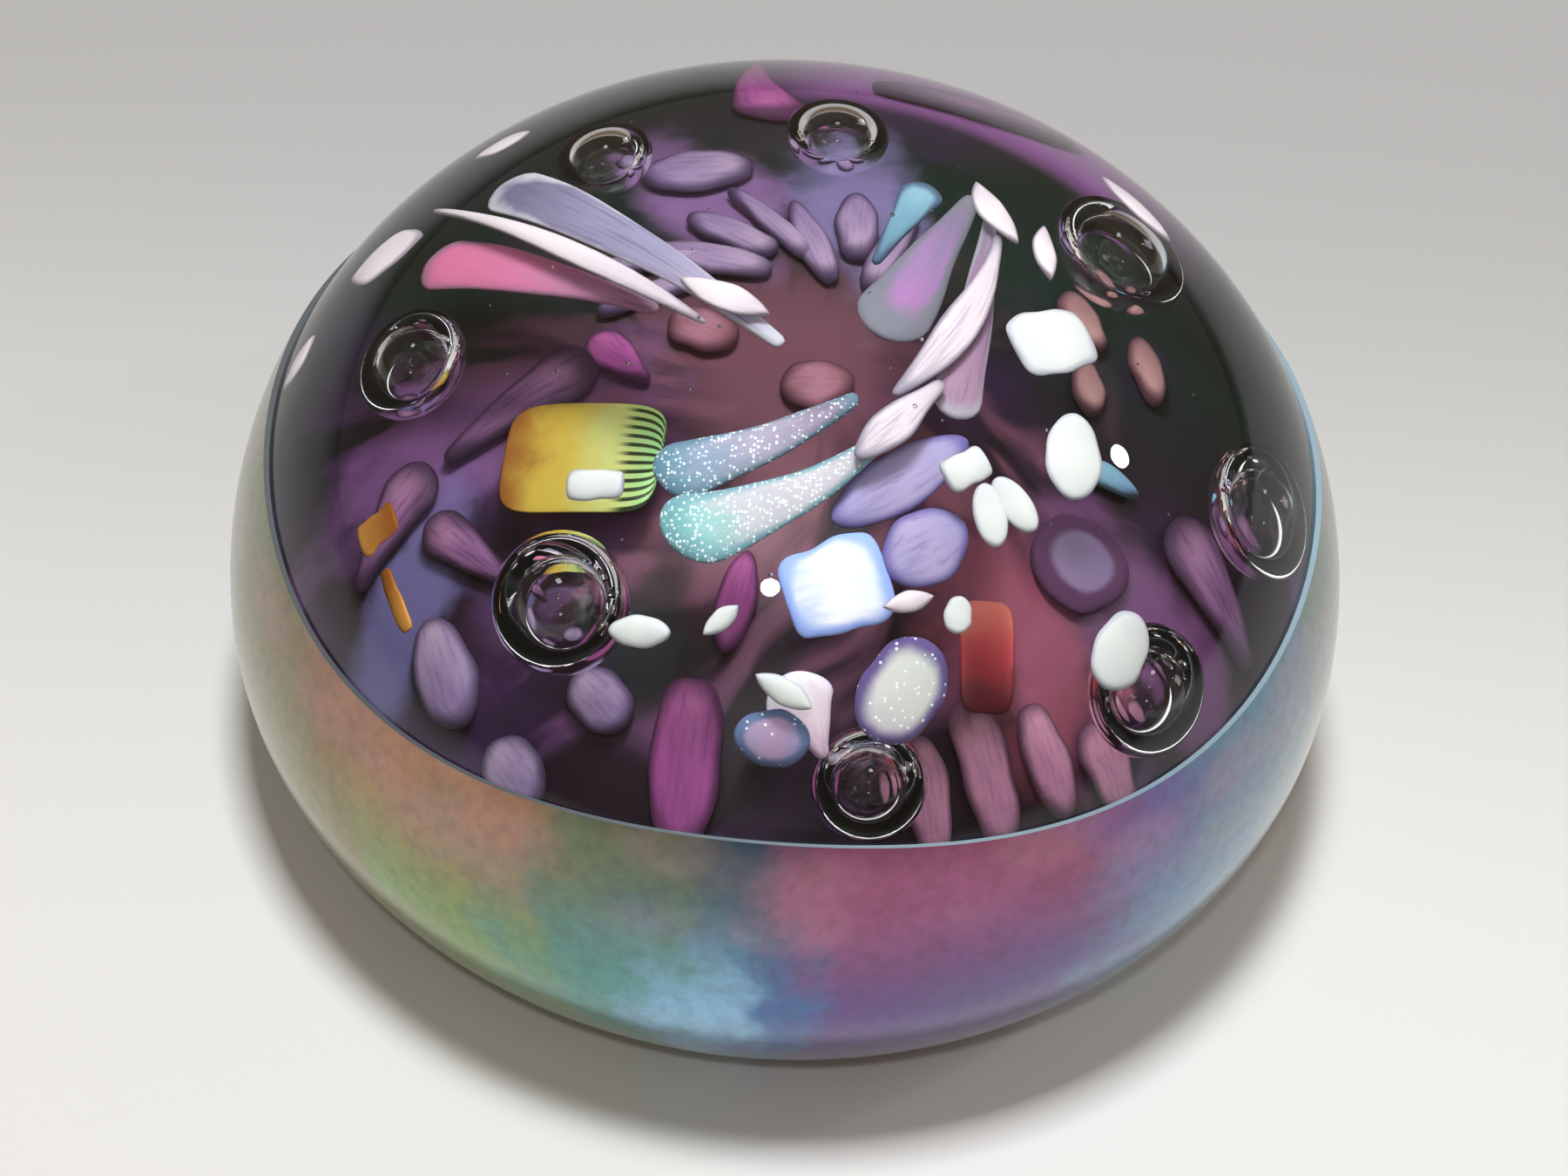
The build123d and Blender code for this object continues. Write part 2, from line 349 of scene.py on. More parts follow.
patch = ground.math("ADD", ground.math("MULTIPLY", patch, ground.math("SUBTRACT", 1.0, crown_heart)),
                    ground.math("MULTIPLY", crown_heart, 0.55))
body = ground.mix(patch, dark, plum)
body = ground.mix(ground.math("MULTIPLY", ground.step(cloud, 0.52, 0.72), 0.6), body, colour(60, 36, 78))
# The arc is a painted reflection of the mound's colour in the back of the dome. It lies
# between two distances from the axis, and fades at both its ends.
painted_reflection_arc = ground.math("MULTIPLY", ground.step(reach, 0.0255, 0.0275), ground.step(reach, 0.0325, 0.0300))
painted_reflection_arc = ground.math("MULTIPLY", painted_reflection_arc, ground.math("MULTIPLY", ground.step(axes.outputs["Y"], 0.010, 0.018),
                                               ground.step(axes.outputs["X"], -0.006, 0.002)))
painted_reflection_arc = ground.math("MULTIPLY", painted_reflection_arc, ground.step(axes.outputs["X"], 0.022, 0.014))
body = ground.mix(painted_reflection_arc, body, ground.mix(streaks, colour(120, 66, 128), colour(168, 112, 172)))

# Each cloud of colour is a soft oval: middle x and y, half length and half width in
# millimetres, the angle of its length in degrees, and its colour.
clouds = [
    (-19, -3, 12, 4.6, 15, colour(116, 78, 124)),
    (-13, -11, 9, 3.4, 50, colour(78, 52, 88)),
    (-23, -12, 8, 3.2, 62, colour(104, 98, 142)),
    (14, -15, 9, 5.5, -50, colour(146, 76, 96)),
    (21, -9, 8, 4.0, -30, colour(112, 70, 112)),
    (3, 14, 10, 4.0, 100, colour(122, 110, 152)),
    (-6, 14, 8, 4.0, 118, colour(130, 96, 142)),
    (1, -25, 4, 5.0, 90, colour(22, 20, 26)),
    (-8, -17, 6, 3.0, 80, colour(26, 34, 36)),
]
ragged = ground.math("MULTIPLY", ground.math("SUBTRACT", ground.noise(spot, 170.0, 4.0, 0.6), 0.5), 1.5)
for x, y, half_length, half_breadth, angle, tint in clouds:
    local = ground.add("ShaderNodeMapping", vector_type="TEXTURE")
    ground.put(local.inputs["Vector"], spot)
    local.inputs["Location"].default_value = (x * MM, y * MM, 0)
    local.inputs["Rotation"].default_value = (0, 0, math.radians(angle))
    local.inputs["Scale"].default_value = (half_length * MM, half_breadth * MM, 1000)
    gap = ground.add("ShaderNodeVectorMath", operation="LENGTH")
    ground.put(gap.inputs[0], local.outputs[0])
    share = ground.step(ground.math("ADD", gap.outputs["Value"], ragged), 1.15, 0.45)
    body = ground.mix(ground.math("MULTIPLY", share, 0.8), body, tint)
mound.data.materials.append(ground.finish(body, roughness=0.35, specular=0.2))
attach(mound, "root")
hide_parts("dark_mound")
print("mound", len(mound.data.polygons), "faces,", len(clouds), "clouds of colour")


# %% [markdown]
# ## Shards of colour
# A shard is a bit of coloured glass that was laid on a hot gather and covered by the next, so
# it follows the gather's surface and its edges are melted round. Each one starts as a ball
# lying along X. Its outline is set by a rule for the form: oval, leaf, drop, lobe, block or
# ribbon. Then it is bent on to the layer. Two UV maps stay with it: one runs along and
# across the shard, the other counts from its middle to its edge.

# %% The layers that shards lie on
class Layer:
    """One layer of the glass: an ellipsoid that shards are bent on to."""

    def __init__(self, radius, rise, middle, thickness):
        self.radius = radius - thickness / 2
        self.rise = rise - thickness / 2
        self.middle = Vector((0, 0, middle))
        self.thickness = thickness

    def normal(self, place):
        """The direction straight out of the layer at a place."""
        around = place - self.middle
        wide, tall = self.radius ** 2, self.rise ** 2
        return Vector((around.x / wide, around.y / wide, around.z / tall)).normalized()

    def on(self, place):
        """The place pushed straight away from the middle, or towards it, on to the layer."""
        around = place - self.middle
        stretch = (around.x ** 2 + around.y ** 2) / self.radius ** 2 + (around.z / self.rise) ** 2
        return self.middle + around / math.sqrt(stretch)

    def seat(self, azimuth, distance, turn):
        """A shard's middle on the layer, and its directions along and across."""
        angle = math.radians(azimuth)
        out = Vector((math.cos(angle), math.sin(angle), 0))
        height = self.rise * math.sqrt(1 - (distance / self.radius) ** 2)
        middle = self.middle + out * distance + Vector((0, 0, height))
        normal = self.normal(middle)
        outwards = (out - normal * out.dot(normal)).normalized()
        sideways = normal.cross(outwards)
        lean = math.radians(turn)
        along = outwards * math.cos(lean) + sideways * math.sin(lean)
        return middle, along, normal.cross(along)


def under_window(depth, thickness):
    """A layer at one depth under the clear surface, in millimetres."""
    return Layer(clear_radius - depth * MM, clear_rise - depth * MM, equator, thickness * MM)


def over_mound(lift, thickness):
    """A layer that follows the mound at one height over it, in millimetres."""
    raised = (lift + thickness) * MM
    return Layer(mound_radius + raised, mound_height + raised, 0, thickness * MM)


layers = {
    "chip": under_window(2.2, 1.0),
    "ribbon": under_window(3.6, 0.9),
    "feather": under_window(4.9, 1.1),
    "leaf": under_window(6.4, 1.1),
    "deep": under_window(8.0, 1.1),
    "petal": over_mound(0.2, 1.1),
    "flake": over_mound(3.0, 0.4),
    "amber": under_window(8.0, 0.4),
}
print(len(layers), "layers")


# %% The forms of a shard
def half_width(form, s, ratio=3.0):
    """The share of the full half width at s, from -1 to 1 along a form, for length / width."""
    round_end = math.sqrt(max(0.0, 1 - s * s))
    if form == "leaf":
        return round_end ** 1.7
    if form == "drop":
        wide_middle = 1 / ratio - 1
        tip_middle = 1 - 0.25 / ratio
        if s < wide_middle:
            return math.sqrt(max(0.0, 1 - ((s - wide_middle) * ratio) ** 2))
        if s > tip_middle:
            return math.sqrt(max(0.0, 0.0625 - ((s - tip_middle) * ratio) ** 2))
        return 1 - 0.75 * (s - wide_middle) / (tip_middle - wide_middle)
    if form == "lobe":
        return round_end ** 0.7 * (0.88 - 0.12 * s)
    if form == "block":
        return max(0.0, 1 - abs(s) ** 5) ** 0.2
    if form == "ribbon":
        return round_end ** 0.6 * (0.75 + 0.25 * math.sin(3.1 * s + 0.8))
    return round_end


def shard_mesh(name, layer, azimuth, distance, length, width, turn, form, bow=0.0, wobble=0.0, seed=1):
    """Model one shard and bend it on to its layer."""
    bpy.ops.object.select_all(action="DESELECT")
    bpy.ops.mesh.primitive_uv_sphere_add(segments=32, ring_count=24, radius=1)
    piece = bpy.context.object
    bpy.ops.object.mode_set(mode="EDIT")
    bpy.ops.mesh.select_all(action="SELECT")
    bpy.ops.transform.rotate(value=math.radians(90), orient_axis="Y", center_override=(0, 0, 0))
    bpy.ops.object.mode_set(mode="OBJECT")
    rows = {}
    middle, along, across = layer.seat(azimuth, distance * MM, turn)
    phase = seed * 1.7
    # s goes along the ball. side and up go round it, each from -1 to 1.
    for vertex in piece.data.vertices:
        s = max(-1.0, min(1.0, vertex.co.x))
        ring = math.sqrt(max(1e-12, 1 - s * s))
        side = vertex.co.y / ring if ring > 1e-4 else 0.0
        up = vertex.co.z / ring if ring > 1e-4 else 0.0
        wave = 1 + wobble * (math.sin(3.0 * s + phase) + 0.6 * math.sin(7.0 * s + 2 * phase) * side)
        y = side * half_width(form, s, length / width) * wave * width / 2 * MM
        y += bow * MM * (1 - s * s)
        x = s * length / 2 * MM
        edge = math.sqrt(min(1.0, s * s + side * side * (1 - s * s)))
        # The shard thins towards its tips, where a melted edge is round.
        lift = up * layer.thickness / 2 * min(1.0, 1.25 * half_width("oval", s) ** 0.5 + 0.05)
        seated = layer.on(middle + along * x + across * y)
        vertex.co = seated + layer.normal(seated) * lift
        rows[vertex.index] = ((s + 1) / 2, (side + 1) / 2, edge)
    piece.data.update()
    for layer_name in ("lay", "edge"):
        if layer_name not in piece.data.uv_layers:
            piece.data.uv_layers.new(name=layer_name)
    for spare in [uv.name for uv in piece.data.uv_layers if uv.name not in ("lay", "edge")]:
        piece.data.uv_layers.remove(piece.data.uv_layers[spare])
    lay = piece.data.uv_layers["lay"].data
    edge_map = piece.data.uv_layers["edge"].data
    for loop in piece.data.loops:
        u, v, edge = rows[loop.vertex_index]
        lay[loop.index].uv = (u, v)
        edge_map[loop.index].uv = (edge, 0.0)
    only(piece)
    bpy.ops.object.mode_set(mode="EDIT")
    bpy.ops.mesh.select_all(action="SELECT")
    bpy.ops.mesh.normals_make_consistent(inside=False)
    bpy.ops.object.mode_set(mode="OBJECT")
    return settle(piece, name)


# %% [markdown]
# ## The colours of the shards
# The shards sit inside clear glass, so they have no wet shine of their own. What makes them
# look like glass is change within each one: a colour that drifts along the shard, streaks
# drawn out with it, a rim of another tint where it melted, and glitter where metal foil was
# rolled in. One recipe takes all four, and each look is an entry in a table.

# %% One recipe for coloured glass
def coloured_glass(name, stops, streak, rim, rim_start, rim_width=0.2, streak_tint=None, glitter=0.0,
                   mottle=0.10, painted_glow=0.04):
    """A material whose colour runs along the shard, with streaks, a rim and glitter."""
    glass = Recipe(name)
    lay_map = glass.add("ShaderNodeUVMap", uv_map="lay").outputs["UV"]
    lay_axes = glass.add("ShaderNodeSeparateXYZ", {"Vector": lay_map})
    run, side = lay_axes.outputs["X"], lay_axes.outputs["Y"]
    drawn_out = {"X": glass.math("MULTIPLY", run, 1.6), "Y": glass.math("MULTIPLY", side, 4.5)}
    drawn = glass.add("ShaderNodeCombineXYZ", drawn_out).outputs[0]
    strands = glass.noise(drawn, 1.6, 4.0, 0.6)
    place = glass.place()
    cloud = glass.noise(place, 260.0, 3.0, 0.55)
    shift = glass.math("MULTIPLY", glass.math("SUBTRACT", strands, 0.5), streak * 3)
    base = glass.ramp(glass.math("ADD", run, shift), stops)
    if streak_tint:
        base = glass.mix(glass.step(strands, 0.46, 0.74), base, streak_tint)
    shade = glass.math("ADD", 1.0 - mottle, glass.math("MULTIPLY", cloud, 2 * mottle))
    grey = glass.add("ShaderNodeCombineXYZ", {"X": shade, "Y": shade, "Z": shade}).outputs[0]
    base = glass.mix(1.0, base, grey, "MULTIPLY")
    edge_map = glass.add("ShaderNodeUVMap", uv_map="edge").outputs["UV"]
    edge = glass.add("ShaderNodeSeparateXYZ", {"Vector": edge_map}).outputs["X"]
    edge = glass.math("ADD", edge, glass.math("MULTIPLY", glass.math("SUBTRACT", cloud, 0.5), 0.35))
    base = glass.mix(glass.step(edge, rim_start, min(1.0, rim_start + rim_width)), base, rim)
    if glitter:
        cells = glass.add("ShaderNodeTexVoronoi", {"Vector": place, "Scale": 4200.0})
        flash = glass.add("ShaderNodeSeparateColor", {"Color": cells.outputs["Color"]}).outputs[0]
        flash = glass.step(flash, 1.0 - glitter, 1.0 - glitter * 0.6)
        spot = glass.math("MULTIPLY", flash, glass.step(cells.outputs["Distance"], 0.55, 0.30))
        base = glass.mix(spot, base, colour(238, 250, 250))
    # Painted light: a faint glow, which no lamp gives, keeps the shaded side of a shard from
    # going black.
    glass.shader.inputs["Emission Color"].default_value = stops[0][1]
    glass.shader.inputs["Emission Strength"].default_value = painted_glow
    return glass.finish(base, roughness=0.45, specular=0.15)


# %% The looks
# stops are the colours along a shard, and rim is the tint of its edge, from rim_start outwards.
white = colour(216, 218, 214)
cream = colour(214, 204, 208)
looks = {
    "opal_white": dict(
        stops=[(0, colour(208, 212, 212)), (0.5, white), (1, colour(206, 208, 205))],
        streak=0.05, mottle=0.05, rim=colour(176, 178, 188), rim_start=0.84, painted_glow=0.06),
    "ribbon_cream": dict(
        stops=[(0, colour(206, 194, 200)), (0.5, colour(224, 208, 214)), (1, colour(190, 182, 192))],
        streak=0.35, streak_tint=colour(170, 156, 174), rim=colour(140, 134, 150), rim_start=0.72,
        rim_width=0.28),
    "opal_cream": dict(
        stops=[(0, cream), (0.5, colour(226, 214, 218)), (1, colour(196, 184, 194))],
        streak=0.2, mottle=0.08, rim=colour(150, 138, 150), rim_start=0.8),
    "smoke_lilac": dict(
        stops=[(0, colour(106, 102, 128)), (0.5, colour(150, 144, 172)), (1, colour(186, 178, 198))],
        streak=0.3, streak_tint=colour(98, 92, 118), rim=colour(196, 196, 206), rim_start=0.84),
    "rose_grey": dict(
        stops=[(0, colour(160, 128, 150)), (0.5, colour(150, 118, 148)), (1, colour(140, 130, 146))],
        streak=0.3, streak_tint=colour(112, 96, 118), rim=colour(168, 166, 176), rim_start=0.8),
    "grey_lilac": dict(
        stops=[(0, colour(168, 112, 168)), (0.4, colour(150, 118, 162)), (1, colour(112, 110, 126))],
        streak=0.25, streak_tint=colour(124, 118, 142), rim=colour(120, 122, 132), rim_start=0.62),
    "glitter_teal": dict(
        stops=[(0, colour(110, 190, 168)), (0.16, colour(150, 198, 196)), (0.36, colour(196, 194, 202)),
               (1, colour(190, 180, 190))],
        streak=0.2, rim=colour(112, 160, 172), rim_start=0.66, rim_width=0.34, glitter=0.5, mottle=0.2),
    "glitter_silver": dict(
        stops=[(0, colour(88, 146, 160)), (0.2, colour(140, 158, 180)), (0.5, colour(168, 160, 180)),
               (1, colour(140, 118, 142))],
        streak=0.2, rim=colour(100, 134, 152), rim_start=0.66, rim_width=0.34, glitter=0.4, mottle=0.2),
    "teal_glass": dict(
        stops=[(0, colour(132, 172, 188)), (0.6, colour(110, 150, 170)), (1, colour(88, 110, 140))],
        streak=0.2, rim=colour(78, 100, 124), rim_start=0.75),
    "violet_glass": dict(
        stops=[(0, colour(156, 148, 188)), (0.5, colour(170, 158, 194)), (1, colour(146, 140, 184))],
        streak=0.25, streak_tint=colour(140, 124, 168), rim=colour(104, 96, 154), rim_start=0.7,
        rim_width=0.3),
    "pane_blue": dict(
        stops=[(0, colour(214, 226, 250)), (0.5, colour(246, 248, 252)), (1, colour(190, 206, 248))],
        streak=0.25, rim=colour(150, 176, 244), rim_start=0.72),
    "halo_cream": dict(
        stops=[(0, colour(204, 208, 202)), (0.6, colour(210, 208, 204)), (1, colour(196, 190, 200))],
        streak=0.1, rim=colour(92, 74, 132), rim_start=0.62, rim_width=0.3, glitter=0.12),
    "fan_pink": dict(
        stops=[(0, colour(236, 232, 240)), (0.5, colour(228, 208, 218)), (1, colour(196, 160, 184))],
        streak=0.25, rim=colour(214, 206, 230), rim_start=0.85),
    "oval_grey": dict(
        stops=[(0, colour(160, 146, 184)), (0.5, colour(176, 148, 178)), (1, colour(140, 136, 176))],
        streak=0.2, rim=colour(92, 112, 150), rim_start=0.62, glitter=0.06),
    "hot_pink": dict(
        stops=[(0, colour(206, 110, 146)), (0.4, colour(196, 112, 148)), (0.8, colour(170, 120, 150)),
               (1, colour(120, 100, 120))],
        streak=0.25, rim=colour(150, 110, 136), rim_start=0.84),
    "magenta_glass": dict(
        stops=[(0, colour(176, 96, 152)), (0.5, colour(158, 78, 140)), (1, colour(128, 66, 116))],
        streak=0.3, streak_tint=colour(128, 64, 120), rim=colour(70, 38, 68), rim_start=0.66,
        rim_width=0.34),
    "plum_glass": dict(
        stops=[(0, colour(142, 102, 130)), (0.5, colour(118, 80, 116)), (1, colour(86, 58, 92))],
        streak=0.35, streak_tint=colour(76, 50, 86), rim=colour(44, 28, 50), rim_start=0.5,
        rim_width=0.5),
    "lilac_glass": dict(
        stops=[(0, colour(158, 136, 160)), (0.5, colour(138, 118, 148)), (1, colour(110, 90, 128))],
        streak=0.3, streak_tint=colour(114, 96, 132), rim=colour(60, 46, 74), rim_start=0.62,
        rim_width=0.38),
    "mauve_glass": dict(
        stops=[(0, colour(196, 138, 160)), (0.5, colour(176, 120, 146)), (1, colour(146, 98, 124))],
        streak=0.3, streak_tint=colour(148, 98, 130), rim=colour(74, 46, 66), rim_start=0.66,
        rim_width=0.34),
    "rose_glass": dict(
        stops=[(0, colour(128, 84, 90)), (0.5, colour(146, 100, 116)), (1, colour(110, 72, 80))],
        streak=0.3, rim=colour(74, 42, 54), rim_start=0.5, rim_width=0.5),
    "beige_glass": dict(
        stops=[(0, colour(156, 122, 116)), (1, colour(130, 92, 96))],
        streak=0.2, rim=colour(74, 44, 54), rim_start=0.55, rim_width=0.45),
    "ring_purple": dict(
        stops=[(0, colour(140, 122, 152)), (1, colour(128, 108, 144))],
        streak=0.1, rim=colour(86, 52, 84), rim_start=0.5),
}
finishes = {name: coloured_glass(name, **look) for name, look in looks.items()}
print(len(finishes), "glass colours")

# %% [markdown]
# ## Laying the shards
# This is the maker's plan. A row gives the node, the layer, the azimuth in degrees, the
# distance from the axis, the length and the width in millimetres, the turn from straight
# outwards, the form, the sideways bow, and the colour.

# %% The plan
plan = [
    ("chip_trapezoid", "chip", -123, 24, 4.0, 2.1, -60, "block", 0, "opal_white"),
    ("chip_leaf", "chip", -108, 30, 4.2, 2.1, -75, "oval", 0, "opal_white"),
    ("chip_small_leaf", "chip", -98, 28.5, 3.0, 1.4, -40, "leaf", 0, "opal_white"),
    ("chip_rhombus", "chip", -57, 21, 3.4, 2.4, -85, "block", 0, "opal_white"),
    ("chip_oval", "chip", -37, 23.5, 6.3, 4.3, -48, "oval", 0, "opal_white"),
    ("chip_square", "chip", -20, 18, 6.5, 4.8, 53, "block", 0, "opal_white"),
    ("chip_egg", "chip", -46, 33, 5.6, 4.6, 124, "oval", 0, "opal_white"),
    ("chip_small_oval", "chip", -66, 28.5, 2.5, 2.0, -20, "oval", 0, "opal_white"),
    ("sliver_back_tall", "chip", 20, 13.5, 6.4, 2.4, 100, "leaf", 0.4, "opal_cream"),
    ("sliver_back_short", "chip", 7, 16.5, 5.4, 1.8, 90, "leaf", 0.3, "opal_cream"),
    ("sliver_shoulder_right", "chip", 31, 27, 7.0, 3.2, 112, "leaf", 0, "opal_cream"),
    ("leaf_shoulder_left", "chip", 168, 31, 7.5, 5.0, 5, "leaf", 0, "opal_cream"),
    ("sliver_shoulder_left", "chip", 177, 36, 4.5, 2.6, 37, "leaf", 0, "opal_cream"),
    ("sliver_crown_left", "chip", 145, 28, 4.5, 3.2, 41, "leaf", 0, "opal_cream"),
    ("ribbon_left", "ribbon", 178, 18, 31.0, 1.8, 142, "ribbon", 0, "opal_cream"),
    ("tip_cream", "ribbon", -131, 8.5, 7.0, 2.2, 105, "leaf", 0, "opal_cream"),
    ("ribbon_cream", "ribbon", -28, 11, 17.5, 2.7, -84, "ribbon", 1.2, "ribbon_cream"),
    ("leaf_white", "ribbon", -65, 16, 8.4, 2.9, -64, "ribbon", 0, "ribbon_cream"),
    ("leaf_pointed", "ribbon", -89, 30.5, 4.3, 1.8, 63, "leaf", 0, "opal_white"),
    ("sliver_cream", "ribbon", -72, 26.5, 3.5, 1.4, 93, "leaf", 0, "opal_cream"),
    ("feather_lilac", "feather", 179, 12.5, 31.0, 4.6, 139, "drop", 0, "smoke_lilac"),
    ("feather_teal", "feather", -94, 19, 16.0, 5.0, 122, "drop", -1.2, "glitter_teal"),
    ("petal_rose_grey", "feather", -19, 12, 18.5, 3.6, 104, "drop", 0, "rose_grey"),
    ("oval_violet", "feather", -67, 23, 6.4, 4.8, -72, "oval", 0, "violet_glass"),
    ("pane_blue", "feather", -82, 24.5, 7.0, 6.0, -73, "block", 0, "pane_blue"),
    ("halo_round", "feather", -74, 29.7, 7.4, 5.8, -38, "oval", 0, "halo_cream"),
    ("oval_grey", "feather", -90, 31.5, 5.0, 3.8, 88, "oval", 0, "oval_grey"),
    ("leaf_hot_pink", "leaf", -179, 18.5, 21.5, 4.6, 149, "drop", 0, "hot_pink"),
    ("petal_grey_lilac", "leaf", 4, 8, 16.5, 5.0, 65, "drop", 0, "grey_lilac"),
    ("feather_silver", "leaf", -100, 15, 14.6, 4.2, 126, "drop", -0.8, "glitter_silver"),
    ("lobe_violet", "leaf", -67, 18, 11.0, 3.8, -72, "oval", 0, "violet_glass"),
    ("fan_pink", "leaf", -86, 29.5, 6.0, 4.4, 26, "drop", 0, "fan_pink"),
    ("leaf_teal", "deep", 39, 7.5, 9.6, 2.8, -149, "drop", 0, "teal_glass"),
    ("petal_magenta_front", "petal", -102, 25, 10.5, 5.2, 8, "lobe", 0, "magenta_glass"),
    ("petal_magenta_high", "petal", -100, 16.5, 6.5, 2.4, 0, "oval", 0, "magenta_glass"),
    ("petal_lilac_low", "petal", -124, 28, 4.8, 4.2, 69, "oval", 0, "lilac_glass"),
    ("petal_grey_low", "petal", -117, 23.5, 4.6, 3.8, 73, "oval", 0, "lilac_glass"),
    ("petal_blue_low", "petal", -140, 26.5, 7.2, 4.4, 64, "oval", 0, "lilac_glass"),
    ("petal_violet_left", "petal", -150, 22, 8.6, 3.2, 106, "drop", 0, "plum_glass"),
    ("swoosh_plum_low", "petal", -164, 25, 8.6, 4.2, 33, "drop", 0, "plum_glass"),
    ("swoosh_plum_high", "petal", -174, 17, 11.0, 4.6, 22, "drop", 0, "plum_glass"),
    ("petal_magenta_left", "petal", 178, 11, 5.4, 3.0, 136, "drop", 0, "magenta_glass"),
    ("ring_purple", "petal", -27, 20, 6.8, 6.0, 39, "oval", 0, "ring_purple"),
    ("arc_teal", "petal", -9, 19, 4.6, 1.8, 9, "leaf", 0.4, "teal_glass"),
    ("petal_purple_right", "petal", -12, 26.5, 10.0, 5.0, -22, "drop", 0, "plum_glass"),
    ("petal_lilac_back", "petal", 112, 18.5, 6.5, 4.6, 67, "oval", 0, "lilac_glass"),
    # The comma and the band at the back are painted reflections: they stand for the mound's colours
    # mirrored inside the back of the dome.
    ("comma_magenta_back", "petal", 96, 26.5, 9.0, 3.8, 4, "drop", 0.8, "magenta_glass"),
    ("band_plum_back", "petal", 74, 28.5, 11.0, 2.8, 104, "leaf", 0, "plum_glass"),
]


def lay(piece, node, look):
    """Give a shard its colour and name the node that it stands for."""
    piece.data.materials.append(finishes[look])
    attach(piece, "root")
    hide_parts(node)


for number, (node, layer, azimuth, distance, length, width, turn, form, bow, look) in enumerate(plan):
    shard = shard_mesh(node + "_glass", layers[layer], azimuth, distance, length, width, turn, form,
                       bow=bow, wobble=0.05, seed=number)
    lay(shard, node, look)
print(len(plan), "single shards laid")


# %% Groups of petals
def group(node, look, rows):
    """Lay several like shards and join them as one piece."""
    made = []
    for number, row in enumerate(rows):
        made.append(shard_mesh(f"{node}_{number}", *row, wobble=0.08, seed=number + 3))
    only(made[0])
    for piece in made[1:]:
        piece.select_set(True)
    bpy.ops.object.join()
    lay(settle(bpy.context.object, node + "_glass"), node, look)
    print(node, "has", len(rows), "shards")


# A row is an azimuth, a distance, a length, a width and, where they differ, a turn.
petal = layers["petal"]
lumps = [(160, 6.5, 4.6, 3.4, -8), (-60, 2.0, 4.6, 3.6, -103)]
group("lumps_rose", "rose_glass", [(petal, *row, "oval") for row in lumps])
mauve = [(-59, 26, 9.4, 4.0), (-50, 26.5, 7.4, 3.4), (-68, 26.5, 8.2, 3.2), (-42, 28, 6.4, 3.8)]
group("petals_mauve", "mauve_glass", [(petal, *row, 0, "lobe") for row in mauve])
beige = [(28, 18.5, 4.6, 2.8), (19, 21.5, 5.0, 2.4), (11, 17.5, 4.0, 2.2)]
group("petals_beige", "beige_glass", [(petal, *row, 90, "oval") for row in beige])
# The streaks fan out at the back. Each turns half as far as it is from a meeting azimuth.
meeting = 50
streak_rows = []
for number, azimuth in enumerate(range(66, 151, 12)):
    reach = 11.5 + 1.2 * math.sin(2.3 * number)
    length = 7.6 + 1.2 * math.sin(4.1 * number + 1)
    breadth = 2.3 + 0.6 * math.sin(1.7 * number)
    streak_rows.append((petal, azimuth, reach, length, breadth, 0.5 * (azimuth - meeting), "lobe"))
group("streaks_back", "lilac_glass", streak_rows)
pebble_rows = [(-126, 4.4), (-113, 5.2), (-98, 4.6), (-83, 4.0), (-70, 5.4), (-57, 4.2)]
pebbles = [(petal, azimuth, 32.2, size, size * 0.8, 90, "oval") for azimuth, size in pebble_rows]
group("pebbles_side", "mauve_glass", pebbles)

# %% The butterfly chip
butterfly_azimuth = -54
wings = []
for side in (-1, 1):
    azimuth = butterfly_azimuth + side * 2.4
    wings.append(shard_mesh("wing", layers["chip"], azimuth, 24, 4.4, 2.4, side * 12, "oval"))
joiner = wings[0].modifiers.new("join", "BOOLEAN")
joiner.operation = "UNION"
joiner.object = wings[1]
only(wings[0])
bpy.ops.object.modifier_apply(modifier="join")
bpy.data.objects.remove(wings[1])
lay(settle(wings[0], "chip_butterfly_glass"), "chip_butterfly", "opal_white")
print("butterfly chip", len(wings[0].data.polygons), "faces")

# %% [markdown]
# ## Metal-coated flakes
# A dichroic flake is a paper-thin bit of glass with a metal coat. It goes from gold to green
# or from red to orange across its face, and the gold one is pressed in fine ribs at one end.

# %% Flakes
def flake_finish(name, stops, ribs=False):
    """A metal coat whose colour drifts along the flake, with fine ribs pressed in if asked."""
    flake = Recipe(name)
    lay_map = flake.add("ShaderNodeUVMap", uv_map="lay").outputs["UV"]
    axes = flake.add("ShaderNodeSeparateXYZ", {"Vector": lay_map})
    cloud = flake.noise(flake.place(), 300.0, 4.0, 0.6)
    drift = flake.math("MULTIPLY", flake.math("SUBTRACT", cloud, 0.5), 0.5)
    base = flake.ramp(flake.math("ADD", axes.outputs["X"], drift), stops)
    if ribs:
        wave = flake.math("SINE", flake.math("MULTIPLY", axes.outputs["Y"], 75.0))
        rib = flake.math("MULTIPLY", flake.step(wave, -0.2, 0.6), flake.step(axes.outputs["X"], 0.70, 0.82))
        base = flake.mix(rib, base, colour(40, 52, 26))
    return flake.finish(base, roughness=0.35, specular=0.3, Metallic=0.25)


gold_stops = [(0, colour(150, 96, 40)), (0.35, colour(196, 170, 70)), (0.7, colour(196, 200, 120)),
              (1, colour(150, 200, 130))]
red_stops = [(0, colour(176, 96, 84)), (0.5, colour(168, 58, 66)), (1, colour(92, 26, 40))]
amber_stops = [(0, colour(150, 84, 30)), (1, colour(214, 150, 70))]
finishes["gold_flake"] = flake_finish("gold_flake", gold_stops, ribs=True)
finishes["red_flake"] = flake_finish("red_flake", red_stops)
finishes["amber_flake"] = flake_finish("amber_flake", amber_stops)
print("flake finishes", [name for name in finishes if name.endswith("flake")])

